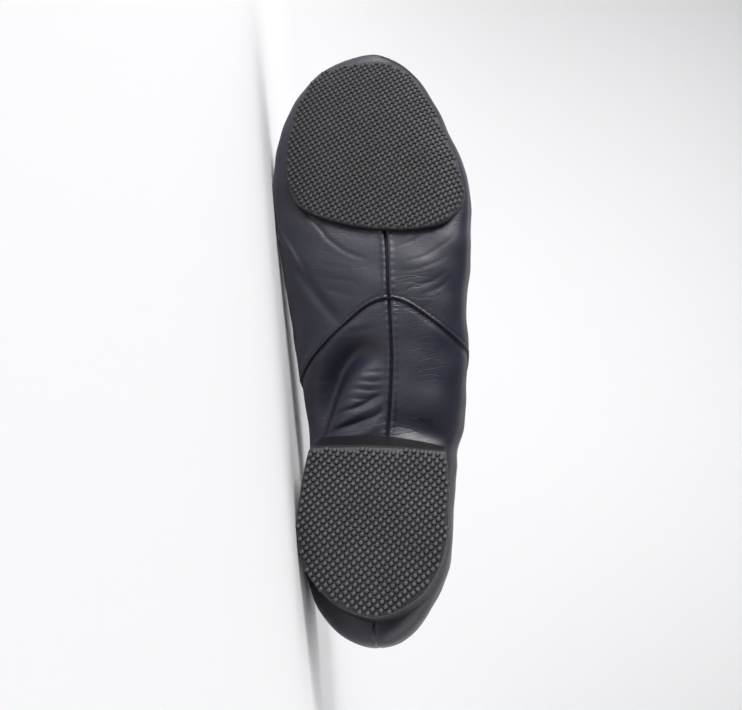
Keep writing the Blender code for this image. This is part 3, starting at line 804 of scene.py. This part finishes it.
def closed_curve(table, across_size, count):
    """Evenly spaced points on a smooth closed curve through a table's corners."""
    corners = np.array(table) * (LENGTH, across_size)
    dense = curve_points(np.concatenate([corners[-1:], corners, corners[:2]]), OUTLINE_STEPS)
    return even_path(np.concatenate([dense, dense[:1]]), count + 1)[:-1]


def seat_under(grid):
    """How high a piece may reach at a place on the ground and stay clear of the upper's underside."""
    points, faces = welded(grid["points"].reshape(-1, 3), grid_faces(*grid["points"].shape[:2]))
    tree = BVHTree.FromPolygons(points.tolist(), [list(dict.fromkeys(face)) for face in faces.tolist()])

    def seat(x, y):
        hit, normal, _, _ = tree.ray_cast(Vector((x, y, -LENGTH)), Vector((0.0, 0.0, 1.0)))
        return hit.z - SEAT_GAP / max(abs(normal.z), STEEPEST)

    return seat


def inset(outline, distance):
    """The outline drawn in by a distance, along its own normals."""
    ahead = np.roll(outline, -1, axis=0) - np.roll(outline, 1, axis=0)
    inward = np.column_stack([ahead[:, 1], -ahead[:, 0]])
    inward /= np.linalg.norm(inward, axis=1, keepdims=True)
    if np.sum(inward * (outline.mean(axis=0) - outline)) < 0:
        inward = -inward
    return outline + inward * distance


def inside(outline, places):
    """Which places lie inside a closed outline."""
    x, y = places[:, :1], places[:, 1:]
    x1, y1 = outline.T
    x2, y2 = np.roll(outline, -1, axis=0).T
    crosses = (y1 > y) != (y2 > y)
    at = x1 + (y - y1) / np.where(y2 == y1, 1.0, y2 - y1) * (x2 - x1)
    return (crosses & (x < at)).sum(axis=1) % 2 == 1


def lattice(outline, angle):
    """The studs' places: a square lattice turned by an angle, inside the outline."""
    centre = outline.mean(axis=0)
    reach = int(np.abs(outline - centre).max() / STUD_PITCH * 1.5)
    steps = np.arange(-reach, reach + 1) * STUD_PITCH
    u, v = np.meshgrid(steps, steps)
    first = np.array([math.cos(angle), math.sin(angle)])
    second = np.array([-first[1], first[0]])
    places = centre + u.reshape(-1, 1) * first + v.reshape(-1, 1) * second
    return places[inside(outline, places)], first, second


def studs(places, first, second, height_at):
    """Low square studs with cut corners on the tread's base: points, faces and which faces are tips."""
    points, faces, tips = [], [], []
    count = len(STUD_CORNERS)
    for place in places:
        start = len(points)
        tip = height_at(*place)
        for half, drop in STUD_PROFILE:
            for a, b in STUD_CORNERS:
                x, y = place + (first * a + second * b) * half
                points.append((x, y, tip + drop))
        walls = tube_faces(len(STUD_PROFILE), count, start)
        faces += [face[:1] + face[:0:-1] for face in walls]
        faces.append(list(range(len(points) - 1, len(points) - 1 - count, -1)))
        tips += [0] * len(walls) + [1]
    return points, faces, tips


def studded(name, base, outline, turn, height_at, tips_material):
    """A tread's base with studs over its face, as one piece."""
    points, faces, tips = studs(*lattice(inset(outline, STUD_MARGIN), turn), height_at)
    slots = [0] * len(base[1]) + tips
    return joined(name, [base, (points, faces)], [rubber_material(), tips_material], slots)


def rounded_edge(outline, height_at):
    """Rings that round off a tread's edge, from the outline in."""
    rings = []
    for share in EDGE_SHARES:
        raised = STUD_HEIGHT + EDGE_ROUND * (1.0 - share) ** 2
        rings.append([(x, y, height_at(x, y) + raised) for x, y in inset(outline, EDGE_ROUND * share)])
    return rings


def inner_rings(outline, centre, shares, height_at):
    """Rings of the outline drawn in towards a centre, one for each share."""
    return [[(x, y, height_at(x, y)) for x, y in centre + (outline - centre) * share]
            for share in shares]


def make_forefoot(seat):
    """The forefoot patch: a thin rubber sheet that follows the leather, with studs on its face."""
    outline = closed_curve(PATCH_CORNERS, BALL_WIDTH, PATCH_POINTS)
    centre = outline.mean(axis=0)

    def face_height(x, y):
        height = seat(x, y) - FORE_SOLE
        return 0.0 if height < FLAT_SLACK else height - FLAT_SLACK

    def base(x, y):
        return face_height(x, y) + STUD_HEIGHT

    rings = inner_rings(outline, centre, PATCH_RINGS, seat)
    back_points, back_faces = sheet(rings, (*centre, seat(*centre)))
    rings = rounded_edge(outline, face_height) + inner_rings(outline, centre, PATCH_RINGS[1:], base)
    base_points, base_faces = sheet(rings, (*centre, base(*centre)))
    count, start = len(outline), len(back_points)
    wall = [[j, (j + 1) % count, (j + 1) % count + start, j + start] for j in range(count)]
    faces = ([face[::-1] for face in back_faces]
             + [[corner + start for corner in face] for face in base_faces] + wall)
    piece = studded("forefoot_tread", (back_points + base_points, faces), outline, FOREFOOT_TURN,
                    face_height, rubber_material("patch_tips", PATCH_GLOSS))
    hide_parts("forefoot_sole")


def heel_outline(height):
    """The heel's outline at a height: its back flares out and its breast slants forward."""
    outline = closed_curve(TREAD_CORNERS, HEEL_WIDTH, TREAD_POINTS)
    front = outline[:, 0].max()
    middle = outline[:, 0].min() + HEEL_WIDTH / 2
    rise = height / HEEL_HEIGHT
    forward = np.clip((outline[:, 0] - middle) / (front - middle), 0.0, 1.0) ** 3
    back = np.clip((middle - outline[:, 0]) / (middle - outline[:, 0].min()), 0.0, 1.0)
    outline[:, 0] += BREAST_SLANT * rise * forward - HEEL_FLARE * rise * back
    return outline


def make_heel_tread():
    """The rubber lift that the heel stands on, studded right up to its edge."""
    foot = heel_outline(0.0)
    centre = foot.mean(axis=0)
    rings = inner_rings(heel_outline(HEEL_TREAD), centre, (0.5, 1.0), lambda x, y: HEEL_TREAD)
    rings += rounded_edge(foot, lambda x, y: 0.0)
    rings += inner_rings(foot, centre, TREAD_RINGS, lambda x, y: STUD_HEIGHT)
    points, faces = sheet(rings, (*centre, STUD_HEIGHT))
    faces.append(list(range(len(foot) - 1, -1, -1)))
    # The studs' tips take a lighter grey, a painted highlight on their tops.
    piece = studded("heel_lift", (points, faces), foot, HEEL_TURN, lambda x, y: 0.0,
                    rubber_material("heel_tips_painted_highlight"))
    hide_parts("heel_tread")


def make_heel_block(seat):
    """The heel's body: slanting walls from just above the lift to the leather."""
    low = HEEL_TREAD + GAP
    top = heel_outline(HEEL_HEIGHT)
    rings = []
    for share in HEEL_WALL:
        outline = heel_outline(low + share * (HEEL_HEIGHT - low))
        draw = HEEL_HOLLOW * math.sin(share * math.pi) + (HEEL_EDGE if share == 0.0 else 0.0)
        rings.append([(x, y, low + share * (seat(a, b) - low))
                      for (x, y), (a, b) in zip(inset(outline, draw), top)])
    centre = top.mean(axis=0)
    rings += inner_rings(top, centre, HEEL_RINGS, seat)
    points, faces = sheet(rings, (*centre, seat(*centre)))
    faces.append(list(range(len(top) - 1, -1, -1)))
    # Its colour is the black rubber painted darker, a painted shade on the heel's walls.
    piece = new_piece("heel_body", points, faces, [rubber_material("heel", HEEL_GLOSS)])
    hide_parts("heel_block")


def set_inputs(shader, values):
    for name, value in values.items():
        shader.inputs[name].default_value = value


class Look:
    """One material, with short ways to add and join its nodes."""

    def __init__(self, name, values):
        self.material = bpy.data.materials.new(name)
        self.material.use_nodes = True
        self.tree = self.material.node_tree
        set_inputs(self.tree.nodes["Principled BSDF"], values)
        self.place = self.added("TexCoord").outputs["Object"]

    def feed(self, name, output):
        """Feeds one input of the material's own shader."""
        self.tree.links.new(output, self.tree.nodes["Principled BSDF"].inputs[name])

    def added(self, kind, values=None, **links):
        """A node with its constants set and its inputs fed from other nodes' outputs."""
        node = self.tree.nodes.new("ShaderNode" + kind)
        set_inputs(node, values or {})
        for name, output in links.items():
            self.tree.links.new(output, node.inputs[name])
        return node

    def stretched(self, scale, turn=(0.0, 0.0, 0.0)):
        mapping = self.added("Mapping", {"Scale": scale, "Rotation": turn}, Vector=self.place)
        return mapping.outputs["Vector"]

    def noise(self, scale, detail=3.0, roughness=0.5, place=None):
        values = {"Scale": scale, "Detail": detail, "Roughness": roughness}
        return self.added("TexNoise", values, Vector=place or self.place).outputs["Fac"]

    def cells(self, scale):
        node = self.added("TexVoronoi", Vector=self.place)
        node.feature = "SMOOTH_F1"
        set_inputs(node, {"Scale": scale, "Smoothness": 0.6})
        return node.outputs["Distance"]

    def ramp(self, factor, low, high, first, second):
        """A value or colour that goes from first to second as the factor goes from low to high."""
        node = self.added("ValToRGB", Fac=factor)
        ends = node.color_ramp.elements
        for element, position, value in zip(ends, (low, high), (first, second)):
            element.position = position
            element.color = (*value, 1.0) if len(value) == 3 else (value[0],) * 3 + (1.0,)
        return node.outputs["Color"]

    def lines(self, factor):
        """Thin lines where the factor is near its middle value."""
        node = self.added("ValToRGB", Fac=factor)
        ends = node.color_ramp.elements
        ends[0].position, ends[1].position = 0.47, 0.53
        ends[0].color = ends[1].color = (0.0, 0.0, 0.0, 1.0)
        ends.new(0.5).color = (1.0, 1.0, 1.0, 1.0)
        return node.outputs["Color"]

    def product(self, first, second):
        node = self.tree.nodes.new("ShaderNodeMath")
        node.operation = "MULTIPLY"
        for factor, socket in zip((first, second), node.inputs):
            self.tree.links.new(factor, socket)
        return node.outputs[0]

    def bump(self, height, strength, distance, before=None, sunk=False):
        links = {"Height": height, "Normal": before} if before else {"Height": height}
        node = self.added("Bump", {"Strength": strength, "Distance": distance}, **links)
        node.invert = sunk
        return node.outputs["Normal"]


def leather_material():
    """Soft black leather: a fine grain, fine wrinkles here and there and a low uneven sheen."""
    look = Look("leather", {"Specular IOR Level": 0.50, "Coat Weight": 0.05, "Coat Roughness": 0.38})
    look.feed("Base Color", look.ramp(look.noise(22.0, 3.0, 0.55), 0.35, 0.70, *COLOURS["leather"]))
    look.feed("Roughness", look.ramp(look.noise(55.0, 4.0, 0.6), 0.30, 0.72, (0.40,), (0.52,)))
    creased = look.noise(1.0, 4.0, 0.6, look.stretched((120.0, 420.0, 420.0)))
    bumped = look.bump(creased, 0.35, 0.00025)
    for scale, turn in WRINKLES:
        lines = look.lines(look.noise(1.0, 2.0, 0.5, look.stretched(scale, turn)))
        places = look.ramp(look.noise(38.0, 2.0), 0.46, 0.66, (0.0,), (1.0,))
        bumped = look.bump(look.product(lines, places), 0.35, 0.00016, bumped, True)
    bumped = look.bump(look.cells(2100.0), 0.30, 0.00008, bumped)
    look.feed("Normal", look.bump(look.noise(5200.0, 2.0), 0.22, 0.00003, bumped))
    return look.material


def thread_material():
    look = Look("thread", {"Base Color": THREAD_COLOUR, "Roughness": 0.65})
    look.feed("Normal", look.bump(look.noise(6000.0, 2.0), 0.5, 0.00004))
    return look.material


def lining_material():
    """The matt inside: a soft close-napped cloth."""
    look = Look("lining", {"Roughness": 0.88, "Sheen Weight": 0.25, "Sheen Roughness": 0.5,
                           "Specular IOR Level": 0.25})
    look.feed("Base Color", look.ramp(look.noise(260.0, 5.0, 0.65), 0.30, 0.70, *COLOURS["lining"]))
    look.feed("Normal", look.bump(look.noise(2600.0, 3.0, 0.7), 0.5, 0.00012))
    return look.material


def rubber_material(name="rubber", gloss=0.5):
    """Matt rubber, in the colours of the named part of the sole."""
    look = Look(name, {"Specular IOR Level": gloss})
    look.feed("Base Color", look.ramp(look.noise(70.0, 5.0, 0.6), 0.30, 0.72, *COLOURS[name]))
    look.feed("Roughness", look.ramp(look.noise(400.0, 3.0, 0.6), 0.30, 0.70, (0.48,), (0.66,)))
    look.feed("Normal", look.bump(look.noise(3800.0, 3.0, 0.6), 0.35, 0.00005))
    return look.material


def make_insole():
    """The insole: a thin sheet on the leather's inside, following its bottom and its creases."""
    stations = np.linspace(*INSOLE_ENDS, INSOLE_ROWS)[:, None]
    lower = INSOLE_REACH * np.linspace(0.0, 1.0, INSOLE_SIDE)[None, :]
    halves = [outer_points(stations, lower, np.zeros_like(lower), side) for side in SIDES]
    grid = np.concatenate([halves[0][:, :0:-1], halves[1]], axis=1)
    rows, columns = grid.shape[:2]
    flat = grid.reshape(-1, 3)
    faces = grid_faces(rows, columns)
    normals = point_normals(flat, faces)
    if normals[:, 2].sum() > 0:
        normals = -normals
    soft = soft_relief(flat, normals)
    low = flat + normals * (soft - WALL - INSOLE_GAP)[:, None]
    high = low - normals * INSOLE
    numbers = np.arange(rows * columns).reshape(rows, columns)
    rim = np.concatenate([numbers[0], numbers[1:, -1], numbers[-1, -2::-1], numbers[-2:0:-1, 0]])
    after = np.roll(rim, -1)
    wall = np.stack([rim, after, after + len(flat), rim + len(flat)], axis=-1)
    faces = np.concatenate([faces, faces[:, ::-1] + len(flat), wall])
    piece = new_piece("insole_sheet", np.concatenate([low, high]), faces, [lining_material()])
    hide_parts("insole")


def add_camera():
    """The photograph's angle and distance to the shoe, turned to bring the one shoe to the middle."""
    turn = TO_ROW[:3, :3]
    forward, right = Vector(turn @ CAMERA_FORWARD), Vector(turn @ CAMERA_RIGHT)
    right = (right - forward * right.dot(forward)).normalized()
    up = right.cross(forward)
    aim = (forward * FOCAL_PIXELS + right * (SHOE_PIXEL[0] - MIDDLE_PIXEL[0])
           - up * (SHOE_PIXEL[1] - MIDDLE_PIXEL[1])).normalized()
    swing = forward.rotation_difference(aim).to_matrix()
    axes = Matrix([swing @ right, swing @ up, -(swing @ forward)]).transposed()
    data = bpy.data.cameras.new("camera")
    data.sensor_width = SENSOR
    data.lens = FOCAL_PIXELS / PICTURE_WIDTH * SENSOR
    data.clip_start = 0.01
    camera = new_object("camera", data)
    place = Vector(turn @ CAMERA_PLACE + TO_ROW[:3, 3])
    camera.matrix_world = Matrix.Translation(place) @ axes.to_4x4()
    bpy.context.scene.camera = camera


def add_floor():
    """A plain pale floor that curves up far behind into the backdrop."""
    bm = bmesh.new()
    profile = [(y, 0.0) for y in np.linspace(FLOOR_FRONT, SWEEP_START, 12)]
    profile += [(SWEEP_START + math.sin(a) * SWEEP, SWEEP - math.cos(a) * SWEEP)
                for a in np.linspace(0.03, math.pi / 2, 40)]
    profile.append((SWEEP_START + SWEEP, BACKDROP_TOP))
    rows = [[bm.verts.new((x, y, z)) for x in (-FLOOR_SIDE, FLOOR_SIDE)] for y, z in profile]
    for low, high in zip(rows, rows[1:]):
        bm.faces.new((low[0], low[1], high[1], high[0]))
    mesh = bpy.data.meshes.new("floor")
    bm.to_mesh(mesh)
    bm.free()
    mesh.shade_smooth()
    look = Look("floor", {"Base Color": FLOOR_COLOUR, "Roughness": 0.85, "Specular IOR Level": 0.2})
    mesh.materials.append(look.material)
    floor = new_object("floor", mesh)


def add_lights():
    """A key light from the toe, a low one from the heel, two for the ground, and a dim surround."""
    world = bpy.data.worlds.new("surround")
    world.use_nodes = True
    set_inputs(world.node_tree.nodes["Background"], {"Color": SURROUND_COLOUR, "Strength": SURROUND})
    bpy.context.scene.world = world
    bpy.context.scene.view_settings.view_transform = "Standard"
    for name, place, aim, size, watts in LIGHTS:
        data = bpy.data.lights.new(name, "AREA")
        data.shape = "RECTANGLE"
        data.size, data.size_y = size
        data.energy = watts
        light = new_object(name, data)
        light.location = place
        light.rotation_mode = "QUATERNION"
        light.rotation_quaternion = (Vector(aim) - Vector(place)).to_track_quat("-Z", "Y")


def main():
    grid = leather_grid()
    dressed, inner, normals = dressed_leather(grid)
    make_upper(grid, dressed, inner)
    make_lining(inner)
    make_stitches(grid, dressed, normals)
    seat = seat_under(grid)
    make_forefoot(seat)
    make_heel_tread()
    make_heel_block(seat)
    make_insole()
    add_camera()
    add_floor()
    add_lights()


main()
